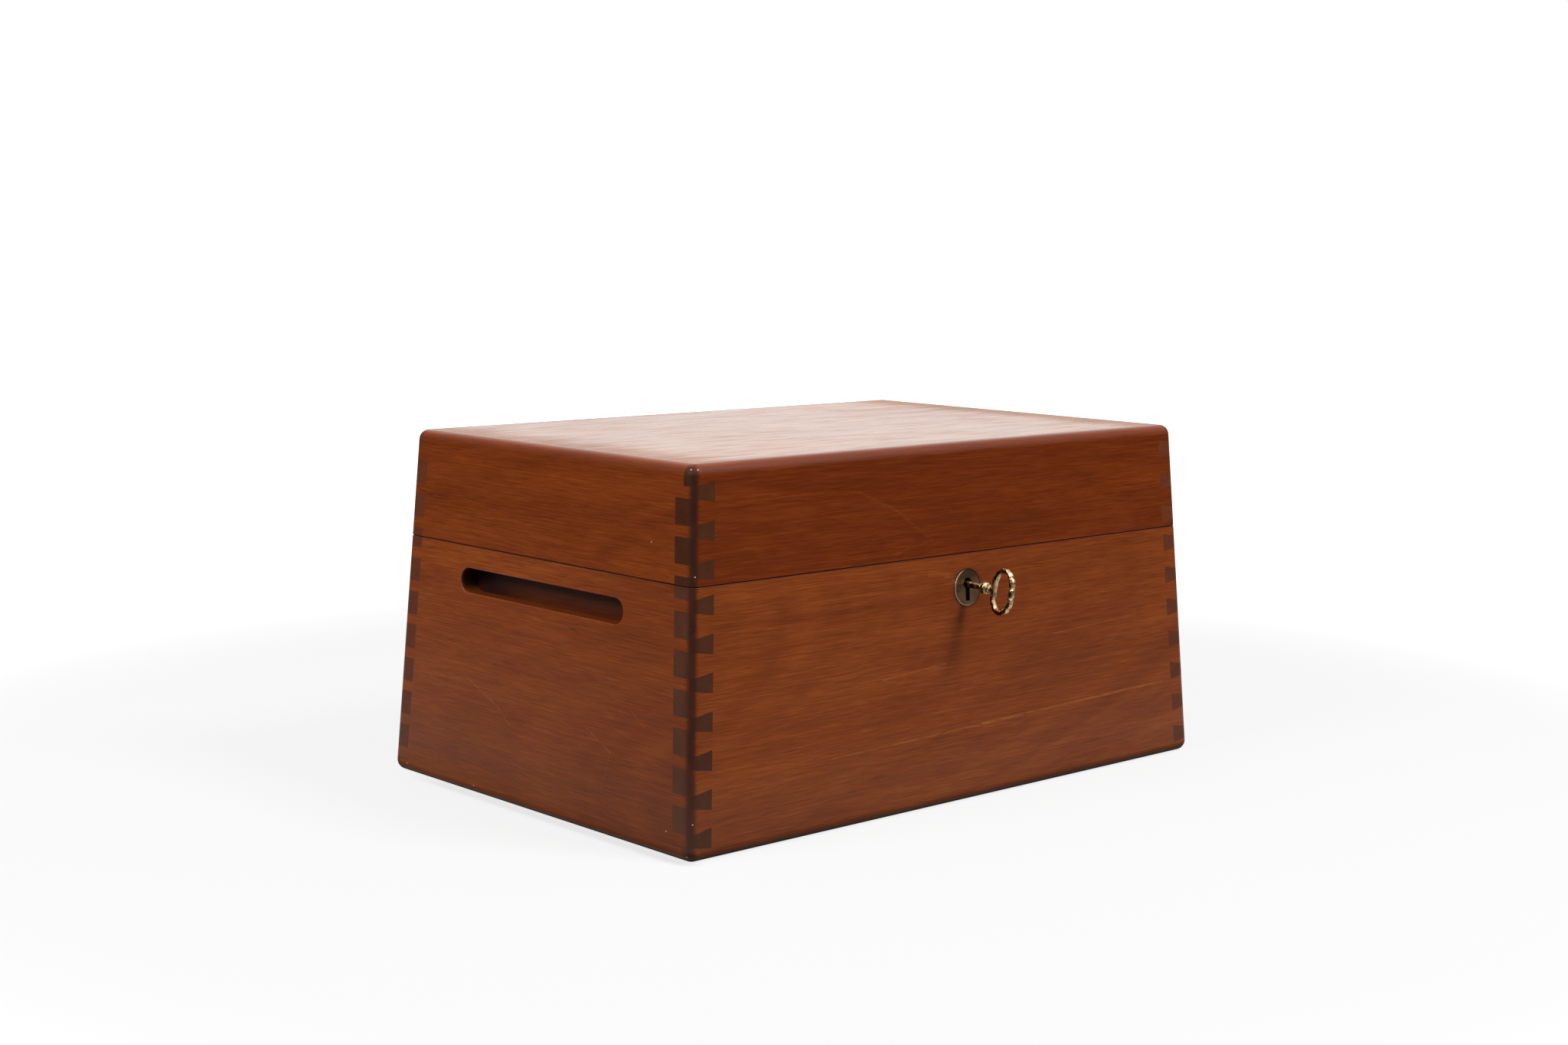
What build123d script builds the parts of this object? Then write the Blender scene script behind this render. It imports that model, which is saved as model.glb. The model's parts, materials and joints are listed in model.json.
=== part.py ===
"""Liquor box: a dovetailed hardwood case with a hinged lid, a box lock with its key, and bottle dividers.

Frame: origin at the centre of the base, +X along the length, -Y towards the front, +Z up. Millimetres.
The case and the lid were glued up as one closed box and then sawn apart, so one pattern of dovetails
runs through both. All four walls lean inwards.
"""

from build123d import *
import math
import os

# The closed box
width = 508.4  # X, at the base
depth = 347.4  # Y, at the base
height = 255.0
seam_height = 177.0  # the lid starts here
lean = 3.29  # degrees that each wall leans inwards
board = 18.0  # wall thickness, square to the wall
corner_round = 7.5  # outer edges
seam_gap = 0.3  # between the closed lid and the case
seam_ease = 0.4  # small bevel on the outer edges at the seam

# Top and bottom panels, let into rebates in the walls
rim = 9.0  # what is left of a wall beside a panel
top_panel_thickness = 14.0
bottom_panel_thickness = 10.0
panel_ease = 0.3  # small bevel round the show face of a panel

# Dovetails: the side walls carry the pins, the front and back walls the tails
pin_pitch = 25.0
first_pin = 14.9  # height of the lowest pin's centre
pin_narrow = 7.6  # at the corner
pin_wide = 13.5  # at the inner end
saw_loss = 2.7  # wood that the saw and the plane took at the seam

# Grip pockets in the two side walls
grip_length = 187.0
grip_tall = 17.4
grip_drop = 24.7  # its centre, below the seam
grip_depth = 14.0
grip_round = 1.0  # rounded mouth

# Bottle dividers: boards on edge, halved over each other
cell_columns = 4
cell_rows = 3
divider_tall = 110.0
divider_thickness = 5.0
divider_clearance = 0.3  # to the walls and in the halving joints

# Screws
screw_slot_wide = 0.8
screw_slot_deep = 0.7
hole_clearance = 0.05  # round a screw, a stud or a nail
floor_screw_head = 7.0
floor_screw_shank = 3.0
floor_screw_length = 26.0
floor_screw_count_long = 4  # along the front and along the back
floor_screw_count_short = 2  # along each side
floor_screw_corner = 60.0  # from the corner to the first screw
small_screw_head = 5.4
small_screw_shank = 2.6
small_screw_length = 12.0

# Butt hinges in the back wall
hinge_inset = 103.0  # from the corner of the base to the middle of each hinge
hinge_length = 60.0
hinge_knuckles = 5
knuckle_radius = 2.9
knuckle_gap = 0.3
hinge_overhang = 1.3  # pin centre outside the back wall, at the seam
hinge_pin_radius = 1.5
hinge_pin_clearance = 0.05
hinge_pin_head = 2.2
hinge_pin_head_thick = 1.0
hinge_relief = 0.4  # round the knuckles, in the wood and in the other leaf
leaf_thickness = 1.5
leaf_wide = 13.0  # from the pin centre
leaf_clearance = 0.1  # in its recess
hinge_screws = 3  # in each leaf
hinge_screw_inset = 8.5  # from the pin centre
hinge_screw_end = 10.0  # from the leaf's end

# Lid stay on the right: a slotted arm that hangs on the lid and slides on a stud in the case.
# Its two studs lie as far from the hinge axis as each other, one above and one below the seam,
# so the arm always turns half as far as the lid.
stay_reach = 80.0  # from the hinge axis to each stud
stay_spread = 7.0  # degrees, of each stud above or below the seam
lid_opening = 95.0  # degrees
stay_standoff = 3.0  # from the side wall at the seam to the arm
stay_thickness = 2.0
stay_wide = 10.0
stay_stud_radius = 2.5
stay_clearance = 0.15  # round a stud and beside the arm
stay_slot_slack = 0.3  # beyond each end of the slide
stay_tail = 6.5  # from the slot's end to the arm's end
stay_head_radius = 4.5
stay_head_thick = 1.8
stay_spot_depth = 0.5  # the collar is let this far into the leaning wall
stay_thread_radius = 1.6
stay_thread_length = 10.0

# Key, seen in the lock from the front
key_x = 7.6  # the lock sits a little right of the middle
key_drop = 21.5  # the key's axis, below the seam
key_tilt = 10.0  # degrees clockwise from upright, as it was left
key_shank_radius = 2.5
key_pipe_radius = 1.45
key_pipe_depth = 9.5
bit_reach = 8.0  # from the key's axis
bit_thickness = 2.0
bit_length = 7.0  # along the axis
bit_setback = 0.8  # from the tip of the pipe
ward_wide = 1.0  # notch in the bit's edge
ward_deep = 2.0
key_end_gap = 0.5  # from the tip of the pipe to the lock plate
key_collar_place = 17.5  # centre of the bead, out from the front
key_collar_radius = 4.5
key_collar_long = 5.0
key_ring_radius = 3.3
key_ring_long = 1.6
bow_start = 24.1  # out from the front
bow_long = 20.3  # along the key
bow_tall = 33.4
bow_drop = 2.5  # the bow hangs a little off the axis
bow_shoulder_tall = 20.0  # the wider middle part
bow_end_long = 17.8  # the narrower round ends
bow_eye_long = 12.6
bow_eye_tall = 26.0
bow_thickness = 4.4
bow_round = 1.2

# Escutcheon, let into the front
escutcheon_radius = 13.0
escutcheon_drop = 3.1  # its centre, below the key's axis
escutcheon_thickness = 2.2
escutcheon_proud = 0.4
escutcheon_clearance = 0.25
escutcheon_round = 0.3
keyhole_radius = 4.0
keyhole_slot = 4.0
keyhole_drop = 12.5  # from the key's axis to the foot of the slot
keyhole_ease = 0.5  # the hole in the wood is this much larger
nail_spread = 9.4
nail_drop = 0.8
nail_head_radius = 0.95
nail_shank_radius = 0.6
nail_length = 4.5
nail_dome = 0.45

# Box lock, let into the front wall from the inside
lock_plate_half = 38.0  # half its length
lock_plate_tall = 38.0
lock_plate_thickness = 2.0
selvedge_wide = 13.0
lock_clearance = 0.1  # in the wood
lock_case_half = 30.0
lock_case_deep = 10.0
lock_case_wall = 1.2
lock_case_foot = 2.0  # above the lock plate's lower edge
lock_screw_end = 4.0  # from the end of the plate
lock_screw_rise = 6.0  # above the lower edge
drill_pin_radius = 1.3
drill_pin_long = 8.5
bolt_travel = 6.0
bolt_thickness = 2.6
bolt_rise = 5.0  # lower edge above the key's axis
bolt_tall = 8.4
bolt_left = 26.0  # from the key's axis, unlocked
bolt_right = 20.0
talon_half_low = 8.6
talon_half_high = 5.2
talon_deep = 3.7
bolt_guide_radius = 1.5
bolt_guide_left = 15.2  # from the key's axis
bolt_guide_right = 16.5
bolt_guide_rise = 10.0  # above the key's axis
bolt_guide_clearance = 0.15
bolt_guide_slack = 0.4
horn_long = 3.4
bolt_pin_tall = 2.2
staple_spread = 15.0  # from the key's axis
staple_thickness = 2.0
staple_wide = 6.0
staple_long = 7.75
staple_eye_wide = 3.8
staple_eye_tall = 3.2
staple_foot = 1.2  # metal under the eye
staple_room = 0.6  # round a staple in the selvedge
staple_reach = 0.8  # from a waiting bolt pin to its staple
spring_thickness = 0.6
spring_half = 6.0
spring_wide = 4.0
link_plate_thickness = 2.0

slope = math.tan(math.radians(lean))
wall = board / math.cos(math.radians(lean))  # wall thickness, measured level
case_top = seam_height - seam_gap / 2
lid_bottom = seam_height + seam_gap / 2
far = width  # long enough to cut right through anything
grip_height = seam_height - grip_drop
key_height = seam_height - key_drop
escutcheon_height = key_height - escutcheon_drop
hinge_spread = width / 2 - hinge_inset
upside_down = half_turn = 180  # degrees


def half_x(z):
    """Half the outer length at a height."""
    return width / 2 - z * slope


def half_y(z):
    """Half the outer depth at a height."""
    return depth / 2 - z * slope


def block(low, high):
    """A box between two opposite corners."""
    size = [b - a for a, b in zip(low, high)]
    middle = [(a + b) / 2 for a, b in zip(low, high)]
    return Pos(*middle) * Box(*size)


def rod_x(radius, start, end, y, z):
    """A round rod along X."""
    return Pos((start + end) / 2, y, z) * Rot(0, 90, 0) * Cylinder(radius, abs(end - start))


def rod_y(radius, start, end, x, z):
    """A round rod along Y."""
    return Pos(x, (start + end) / 2, z) * Rot(90, 0, 0) * Cylinder(radius, abs(end - start))


def screw(head, shank, length, grow=0.0):
    """A countersunk screw that points down from the origin. With grow it is the hole for one."""
    sink = (head - shank) / 2
    cone = Pos(0, 0, -sink / 2) * Cone(shank / 2 + grow, head / 2 + grow, sink)
    stem = Pos(0, 0, -length / 2) * Cylinder(shank / 2 + grow, length)
    whole = cone + stem
    if grow:
        return whole
    return whole - Pos(0, 0, -screw_slot_deep / 2) * Box(head, screw_slot_wide, screw_slot_deep)


def small_screw(grow=0.0):
    return screw(small_screw_head, small_screw_shank, small_screw_length, grow)


def group(pieces):
    """Separate solids kept together in one node."""
    return Compound(children=[piece.solid() for piece in pieces])


# Walls


def outer_block():
    """The closed box as one solid lump, with its outer edges rounded."""
    lump = extrude(Rectangle(width, depth), amount=height, taper=lean)
    return fillet(lump.edges(), corner_round)


def wall_zone(half, turn):
    """Everything outside the inner face of one wall; turn 0 is the right-hand wall."""
    low, high, out = -corner_round, height + corner_round, half(0) + wall
    outline = Plane.XZ * Polygon(
        (half(low) - wall, low), (half(high) - wall, high), (out, high), (out, low), align=None
    )
    return Rot(0, 0, turn) * extrude(outline, amount=far, both=True)


def pin_heights():
    """Heights of the pins of the case and of the lid."""
    count = int((height - first_pin) / pin_pitch) + 1
    rows = [first_pin + number * pin_pitch for number in range(count)]
    reach = pin_wide / 2 + 1
    case_rows = [z for z in rows if z + reach < seam_height]
    lid_rows = [z - saw_loss for z in rows if seam_height + reach < z - saw_loss < height - reach]
    return case_rows, lid_rows


def pin_prisms(rows, side):
    """The pins of one side wall, as bars that run right through from front to back."""
    beyond = 6.0
    spread = (pin_wide - pin_narrow) / 2 / wall
    bars = []
    for z in rows:
        face = half_x(z)
        outer, inner = face + beyond, face - wall - beyond
        tip = pin_narrow / 2 - beyond * spread
        root = pin_wide / 2 + beyond * spread
        outline = Plane.XZ * Polygon(
            (side * outer, z - tip), (side * outer, z + tip), (side * inner, z + root),
            (side * inner, z - root), align=None,
        )
        bars.append(extrude(outline, amount=far, both=True))
    return bars


zone_right = wall_zone(half_x, 0)
zone_left = wall_zone(half_x, upside_down)
zone_back = wall_zone(half_y, 90)
zone_front = wall_zone(half_y, -90)


def four_walls(lump, rows, band, recess):
    """Cuts one lump into its front, back, left and right walls.

    band is the part of a rebate that the side walls keep at the corners, recess is the panel's place.
    """
    pins_right, pins_left = pin_prisms(rows, 1), pin_prisms(rows, -1)
    long_walls = []
    for zone in (zone_front, zone_back):
        piece = (lump & zone) - band
        for bar in pins_right:
            piece -= bar & zone_right
        for bar in pins_left:
            piece -= bar & zone_left
        long_walls.append(piece)
    side_walls = []
    for zone, pins in ((zone_left, pins_left), (zone_right, pins_right)):
        piece = (lump & zone) - recess
        for end in (zone_front, zone_back):
            sockets = end - band
            for bar in pins:
                sockets -= bar
            piece -= sockets
        side_walls.append(piece)
    return long_walls + side_walls


outer = outer_block()


def eased(lump, at_top):
    """Bevels the outer edges of a half of the box at the seam."""
    seam_face = lump.faces().sort_by(Axis.Z)[-1 if at_top else 0]
    return chamfer(seam_face.edges(), seam_ease)


case_lump = eased(outer & block((-far, -far, -1), (far, far, case_top)), True)
lid_lump = eased(outer & block((-far, -far, lid_bottom), (far, far, height + 1)), False)

top_half_x, top_half_y = half_x(height) - rim, half_y(height) - rim
floor_half_x, floor_half_y = half_x(0) - rim, half_y(0) - rim
top_level = height - top_panel_thickness
floor_level = bottom_panel_thickness
top_band = block((-far, -top_half_y, top_level), (far, top_half_y, height + 1))
top_recess = block((-top_half_x, -top_half_y, top_level), (top_half_x, top_half_y, height + 1))
floor_band = block((-far, -floor_half_y, -1), (far, floor_half_y, floor_level))
floor_recess = block((-floor_half_x, -floor_half_y, -1), (floor_half_x, floor_half_y, floor_level))

case_rows, lid_rows = pin_heights()
case_front, case_back, case_left, case_right = four_walls(case_lump, case_rows, floor_band, floor_recess)
lid_front, lid_back, lid_left, lid_right = four_walls(lid_lump, lid_rows, top_band, top_recess)


# Panels


def panel(half_long, half_deep, low, high, show_face):
    slab = block((-half_long, -half_deep, low), (half_long, half_deep, high))
    face = slab.faces().sort_by(Axis.Z)[show_face]
    return chamfer(face.edges(), panel_ease)


top_panel = panel(top_half_x, top_half_y, top_level, height, -1)
bottom_panel = panel(floor_half_x, floor_half_y, 0, floor_level, 0)


def spread(count, half):
    """Evenly spaced places from -half to +half."""
    return [half * (2 * number / (count - 1) - 1) for number in range(count)]


def floor_screw_places():
    """Screws up through the bottom panel into the walls, halfway across the rebate."""
    ledge_x = (floor_half_x + half_x(floor_level) - wall) / 2
    ledge_y = (floor_half_y + half_y(floor_level) - wall) / 2
    along_x = spread(floor_screw_count_long, width / 2 - floor_screw_corner)
    along_y = spread(floor_screw_count_short, depth / 2 - floor_screw_corner)
    places = [(x, side * ledge_y) for x in along_x for side in (-1, 1)]
    return places + [(side * ledge_x, y) for y in along_y for side in (-1, 1)]


def floor_screw(grow=0.0):
    return Rot(upside_down, 0, 0) * screw(floor_screw_head, floor_screw_shank, floor_screw_length, grow)


bottom_screws = []
for x, y in floor_screw_places():
    hole = Pos(x, y, 0) * floor_screw(hole_clearance)
    bottom_panel -= hole
    case_front, case_back, case_left, case_right = (
        piece - hole for piece in (case_front, case_back, case_left, case_right)
    )
    bottom_screws.append(Pos(x, y, 0) * floor_screw())


# Grip pockets


def grip_cutter(side):
    """A blind slot with round ends, square to the leaning wall."""
    outline = Plane.YZ * SlotOverall(grip_length, grip_tall)
    bar = extrude(outline, amount=2 * grip_depth)
    place = Pos(half_x(grip_height), 0, grip_height) * Rot(0, -lean, 0) * Pos(-grip_depth, 0, 0)
    return Rot(0, 0, 0 if side > 0 else upside_down) * place * bar


def with_grip(piece, side):
    """Cuts the pocket and rounds its mouth."""
    cut = piece - grip_cutter(side)
    outside = cut.faces().filter_by(lambda face: face.inner_wires() and side * face.normal_at().X > 0.5)
    mouth = outside.sort_by(SortBy.AREA)[-1].inner_wires()[0]
    return fillet(mouth.edges(), grip_round)


case_left = with_grip(case_left, -1)
case_right = with_grip(case_right, 1)


# Bottle dividers


def divider_zone():
    """The inside of the case up to the dividers' height, less their clearance."""
    gap = wall + divider_clearance
    long, deep = 2 * (half_x(floor_level) - gap), 2 * (half_y(floor_level) - gap)
    return extrude(Pos(0, 0, floor_level) * Rectangle(long, deep), amount=divider_tall, taper=lean)


def cell_lines(count, half):
    """Places of the boards that part a span into so many equal cells."""
    return [half * (2 * number / count - 1) for number in range(1, count)]


inner_x = half_x(floor_level) - wall
inner_y = half_y(floor_level) - wall
long_lines = cell_lines(cell_rows, inner_y)
short_lines = cell_lines(cell_columns, inner_x)
divider_top = floor_level + divider_tall
halving_level = floor_level + divider_tall / 2
half_board = divider_thickness / 2
half_notch = half_board + divider_clearance / 2


def long_divider(y):
    piece = divider_zone() & block((-far, y - half_board, 0), (far, y + half_board, divider_top))
    for x in short_lines:
        piece -= block((x - half_notch, y - far, halving_level), (x + half_notch, y + far, divider_top + 1))
    return piece


def short_divider(x):
    piece = divider_zone() & block((x - half_board, -far, 0), (x + half_board, far, divider_top))
    for y in long_lines:
        piece -= block((x - far, y - half_notch, 0), (x + far, y + half_notch, halving_level))
    return piece


# Hinges

hinge_y = half_y(seam_height) + hinge_overhang
segment = hinge_length / hinge_knuckles


def knuckle_span(number):
    start = -hinge_length / 2 + number * segment
    return start + knuckle_gap / 2, start + segment - knuckle_gap / 2


def hinge_leaf(x, own, low, high, screw_turn):
    """A leaf let into a rim, with its own knuckles; own is 0 for the case and 1 for the lid."""
    half = hinge_length / 2 - knuckle_gap / 2
    leaf = block((x - half, hinge_y - leaf_wide, low), (x + half, hinge_y, high))
    for number in range(hinge_knuckles):
        start, end = knuckle_span(number)
        if number % 2 == own:
            leaf += rod_x(knuckle_radius, x + start, x + end, hinge_y, seam_height)
        else:
            room = knuckle_radius + hinge_relief
            leaf -= rod_x(room, x + start - knuckle_gap, x + end + knuckle_gap, hinge_y, seam_height)
    leaf -= rod_x(hinge_pin_radius + hinge_pin_clearance, x - far, x + far, hinge_y, seam_height)
    screws = []
    face = high if own == 0 else low
    for step in spread(hinge_screws, hinge_length / 2 - hinge_screw_end):
        place = Pos(x + step, hinge_y - hinge_screw_inset, face) * Rot(screw_turn, 0, 0)
        leaf -= place * small_screw(hole_clearance)
        screws.append(place)
    return leaf, screws


def hinge_pin(x):
    half = hinge_length / 2
    pin = rod_x(hinge_pin_radius, x - half - 0.1, x + half + 0.1, hinge_y, seam_height)
    for side in (-1, 1):
        start, end = x + side * (half + 0.1), x + side * (half + 0.1 + hinge_pin_head_thick)
        pin += rod_x(hinge_pin_head, min(start, end), max(start, end), hinge_y, seam_height)
    return pin


def hinge_room(x, low, high):
    """What the wood loses to a hinge: the leaf's recess and the hollow round the knuckles."""
    half = hinge_length / 2
    end = half + hinge_pin_head_thick + leaf_clearance + knuckle_gap
    recess = block(
        (x - half, hinge_y - leaf_wide - leaf_clearance, low), (x + half, hinge_y + far, high)
    )
    return recess + rod_x(knuckle_radius + hinge_relief, x - end, x + end, hinge_y, seam_height)


case_leaf_low, case_leaf_high = case_top - leaf_thickness, case_top
lid_leaf_low, lid_leaf_high = lid_bottom, lid_bottom + leaf_thickness
hinge_parts = {}
case_hinge_screws, lid_hinge_screws = [], []
for name, x in (("left", -hinge_spread), ("right", hinge_spread)):
    case_leaf, places = hinge_leaf(x, 0, case_leaf_low, case_leaf_high, 0)
    case_back -= hinge_room(x, case_leaf_low, case_top + 1)
    for place in places:
        case_back -= place * small_screw(hole_clearance)
        case_hinge_screws.append(place * small_screw())
    lid_leaf, places = hinge_leaf(x, 1, lid_leaf_low, lid_leaf_high, upside_down)
    lid_back -= hinge_room(x, lid_bottom - 1, lid_leaf_high)
    for place in places:
        lid_back -= place * small_screw(hole_clearance)
        lid_hinge_screws.append(place * small_screw())
    hinge_parts[f"{name}_hinge_case_leaf"] = case_leaf
    hinge_parts[f"{name}_hinge_lid_leaf"] = lid_leaf
    hinge_parts[f"{name}_hinge_pin"] = hinge_pin(x)


# Lid stay

stay_y = hinge_y - stay_reach * math.cos(math.radians(stay_spread))
stay_offset = stay_reach * math.sin(math.radians(stay_spread))
stay_lid_height, stay_case_height = seam_height + stay_offset, seam_height - stay_offset
arm_outer = half_x(seam_height) - wall - stay_standoff
arm_inner = arm_outer - stay_thickness


def stay_slide(opening):
    """Distance between the two studs at a lid opening in degrees."""
    return 2 * stay_reach * math.sin(math.radians(stay_spread + opening / 2))


def stay_arm():
    """A flat bar that hangs from the lid's stud, with a slot for the case's stud."""
    near = stay_slide(0) - stay_slot_slack
    far_end = stay_slide(lid_opening) + stay_slot_slack
    middle = (arm_outer + arm_inner) / 2

    def flat(outline):
        return extrude(Plane.YZ.offset(middle) * outline, amount=stay_thickness / 2, both=True)

    length = far_end + stay_tail
    upright = Rot(0, 0, 90)
    bar_middle = stay_lid_height - length / 2
    bar = flat(Pos(stay_y, bar_middle) * upright * SlotCenterToCenter(length, stay_wide))
    slot_half = stay_stud_radius + stay_clearance
    slot_middle = stay_lid_height - (near + far_end) / 2
    slot = flat(Pos(stay_y, slot_middle) * upright * SlotCenterToCenter(far_end - near, 2 * slot_half))
    eye = rod_x(stay_stud_radius + stay_clearance, arm_inner - 1, arm_outer + 1, stay_y, stay_lid_height)
    return bar - slot - eye


def stay_stud(z):
    """A shouldered screw in a side wall: head, shoulder and thread."""
    seat = half_x(z) - wall + stay_spot_depth
    head_end = arm_inner - stay_clearance
    head_start = head_end - stay_head_thick
    stud = rod_x(stay_head_radius, head_start, head_end, stay_y, z)
    stud += rod_x(stay_stud_radius, head_end, seat, stay_y, z)
    stud += rod_x(stay_thread_radius, seat, seat + stay_thread_length, stay_y, z)
    slot = block(
        (head_start, stay_y - far, z - screw_slot_wide / 2),
        (head_start + screw_slot_deep, stay_y + far, z + screw_slot_wide / 2),
    )
    return stud - slot


def stay_collar(z):
    """The washer that keeps the arm off the wall, let a little into it."""
    seat = half_x(z) - wall + stay_spot_depth
    ring = rod_x(stay_head_radius, arm_outer + stay_clearance, seat, stay_y, z)
    return ring - rod_x(stay_stud_radius + hole_clearance, arm_outer, seat + 1, stay_y, z)


def stay_hole(z):
    """What the wall loses to a stud and its collar."""
    seat = half_x(z) - wall + stay_spot_depth
    hole = rod_x(stay_head_radius + hole_clearance, arm_outer, seat, stay_y, z)
    end = seat + stay_thread_length + hole_clearance
    return hole + rod_x(stay_thread_radius + hole_clearance, seat, end, stay_y, z)


case_right -= stay_hole(stay_case_height)
lid_right -= stay_hole(stay_lid_height)


# Lock

plate_foot = seam_height - seam_gap / 2 - lock_plate_tall
plate_inner = -(half_y(plate_foot) - wall)  # flush with the wall at its foot
plate_outer = plate_inner - lock_plate_thickness
selvedge_outer = plate_inner - selvedge_wide
selvedge_low = case_top - lock_plate_thickness
case_foot = plate_foot + lock_case_foot
lock_front = plate_outer - lock_case_deep
front_at_key = -half_y(key_height)
works_y = (plate_outer + lock_front) / 2  # the plane that the bolt and the staples share
staple_low = lid_bottom - staple_long
staple_xs = (key_x - staple_spread, key_x + staple_spread)
lock_screw_x = lock_plate_half - lock_screw_end


def lock_screw_places():
    """Two screws through the plate into the wall, and two down through the selvedge."""
    places = []
    for side in (-1, 1):
        x = key_x + side * lock_screw_x
        places.append(Pos(x, plate_inner, plate_foot + lock_screw_rise) * Rot(-90, 0, 0))
        places.append(Pos(x, works_y, case_top))
    return places


def keyhole(grow):
    """A keyhole outline, extruded right through along Y."""
    top = rod_y(keyhole_radius + grow, -far, 0, key_x, key_height)
    half = keyhole_slot / 2 + grow
    foot = key_height - keyhole_drop - grow
    return top + block((key_x - half, -far, foot), (key_x + half, 0, key_height))


def lock_plate():
    """The plate inside the wall and the selvedge along its rim."""
    left, right = key_x - lock_plate_half, key_x + lock_plate_half
    piece = block((left, plate_outer, plate_foot), (right, plate_inner, case_top))
    piece += block((left, selvedge_outer, selvedge_low), (right, plate_inner, case_top))
    for x in staple_xs:
        half_slot = staple_thickness / 2 + staple_room
        half_wide = staple_wide / 2 + staple_room
        piece -= block(
            (x - half_slot, works_y - half_wide, selvedge_low - 1),
            (x + half_slot, works_y + half_wide, case_top + 1),
        )
    for place in lock_screw_places():
        piece -= place * small_screw(hole_clearance)
    return piece


def lock_case():
    """The tray over the works, open towards the plate and under the selvedge."""
    left, right = key_x - lock_case_half, key_x + lock_case_half
    tray = block((left, lock_front, case_foot), (right, plate_outer, selvedge_low))
    t = lock_case_wall
    tray -= block((left + t, lock_front + t, case_foot + t), (right - t, plate_outer + 1, selvedge_low + 1))
    mouth = keyhole(0) & block((-far, lock_front - 1, 0), (far, lock_front + t + 0.1, height))
    return tray - mouth


def lock_guides():
    """Two studs on the plate that carry the bolt."""
    z = key_height + bolt_guide_rise
    xs = (key_x - bolt_guide_left, key_x + bolt_guide_right)
    return [rod_y(bolt_guide_radius, lock_front + lock_case_wall, plate_outer, x, z) for x in xs]


def lock_bolt():
    """The bolt, unlocked: a bar with a talon for the key, two guide slots and two horns with pins."""
    low = key_height + bolt_rise
    high = low + bolt_tall
    half = bolt_thickness / 2
    front, back = works_y - half, works_y + half
    bolt = block((key_x - bolt_left, front, low), (key_x + bolt_right, back, high))
    # The bit is at its highest when the bolt is at this share of its travel.
    talon_x = key_x - bolt_travel * (half_turn - key_tilt) / (2 * half_turn)
    talon = Plane.XZ * Polygon(
        (talon_x - talon_half_low, low - 1), (talon_x - talon_half_low, low),
        (talon_x - talon_half_high, low + talon_deep), (talon_x + talon_half_high, low + talon_deep),
        (talon_x + talon_half_low, low), (talon_x + talon_half_low, low - 1), align=None,
    )
    bolt -= extrude(talon, amount=far, both=True)
    guide_z = key_height + bolt_guide_rise
    guide_half = bolt_guide_radius + bolt_guide_clearance
    slide = bolt_travel + 2 * bolt_guide_slack
    for x in (key_x - bolt_guide_left, key_x + bolt_guide_right):
        middle = x - bolt_travel / 2
        slot = Plane.XZ * Pos(middle, guide_z) * SlotCenterToCenter(slide, 2 * guide_half)
        bolt -= extrude(slot, amount=far, both=True)
    pin_middle = staple_low + staple_foot + staple_eye_tall / 2
    pin_low, pin_high = pin_middle - bolt_pin_tall / 2, pin_middle + bolt_pin_tall / 2
    for x in staple_xs:
        tip = x - staple_thickness / 2 - staple_reach
        root = tip - bolt_travel + staple_reach / 4
        bolt += block((root - horn_long, front, high - 1), (root, back, pin_high))
        bolt += block((root - 1, front, pin_low), (tip, back, pin_high))
    return bolt


def lock_spring():
    """A bowed leaf under the selvedge that rubs on the bolt."""
    belly = key_height + bolt_rise + bolt_tall + seam_gap
    middle = key_x - spring_half / 2
    ends = selvedge_low
    inside = spring_half - spring_thickness
    bow_low = ThreePointArc((middle - spring_half, ends), (middle, belly), (middle + spring_half, ends))
    bow_high = ThreePointArc(
        (middle + inside, ends), (middle, belly + spring_thickness), (middle - inside, ends)
    )
    right_end = Line((middle + spring_half, ends), (middle + inside, ends))
    left_end = Line((middle - inside, ends), (middle - spring_half, ends))
    outline = make_face(Wire([bow_low, right_end, bow_high, left_end]))
    placed = Plane.XZ.offset(-works_y) * outline
    return extrude(placed, amount=spring_wide / 2, both=True)


def drill_pin():
    return rod_y(drill_pin_radius, plate_outer - drill_pin_long, plate_outer, key_x, key_height)


def link_plate():
    """The plate in the lid's rim that carries the two staples."""
    left, right = key_x - lock_plate_half, key_x + lock_plate_half
    piece = block((left, selvedge_outer, lid_bottom), (right, plate_inner, lid_bottom + link_plate_thickness))
    for place in link_screw_places():
        piece -= place * small_screw(hole_clearance)
    return piece


def link_screw_places():
    xs = (key_x - lock_screw_x, key_x + lock_screw_x)
    return [Pos(x, works_y, lid_bottom) * Rot(upside_down, 0, 0) for x in xs]


def link_staple(x):
    """One staple with an eye for a bolt pin."""
    half, half_wide = staple_thickness / 2, staple_wide / 2
    staple = block((x - half, works_y - half_wide, staple_low), (x + half, works_y + half_wide, lid_bottom))
    eye_low = staple_low + staple_foot
    eye_half = staple_eye_wide / 2
    return staple - block(
        (x - 2 * half, works_y - eye_half, eye_low),
        (x + 2 * half, works_y + eye_half, eye_low + staple_eye_tall),
    )


def lock_room():
    """What the front wall loses to the lock."""
    c = lock_clearance
    left, right = key_x - lock_plate_half - c, key_x + lock_plate_half + c
    room = block((left, plate_outer, plate_foot - c), (right, 0, case_top + 1))
    room += block((left, selvedge_outer - c, selvedge_low), (right, 0, case_top + 1))
    room += block(
        (key_x - lock_case_half - c, lock_front - c, case_foot - c),
        (key_x + lock_case_half + c, 0, case_top + 1),
    )
    return room


case_front = case_front - lock_room() - keyhole(keyhole_ease)
for place in lock_screw_places():
    case_front -= place * small_screw(hole_clearance)
c = lock_clearance
lid_front -= block(
    (key_x - lock_plate_half - c, selvedge_outer - c, lid_bottom - 1),
    (key_x + lock_plate_half + c, plate_inner + c, lid_bottom + link_plate_thickness),
)
for place in link_screw_places():
    lid_front -= place * small_screw(hole_clearance)


# Escutcheon


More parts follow.
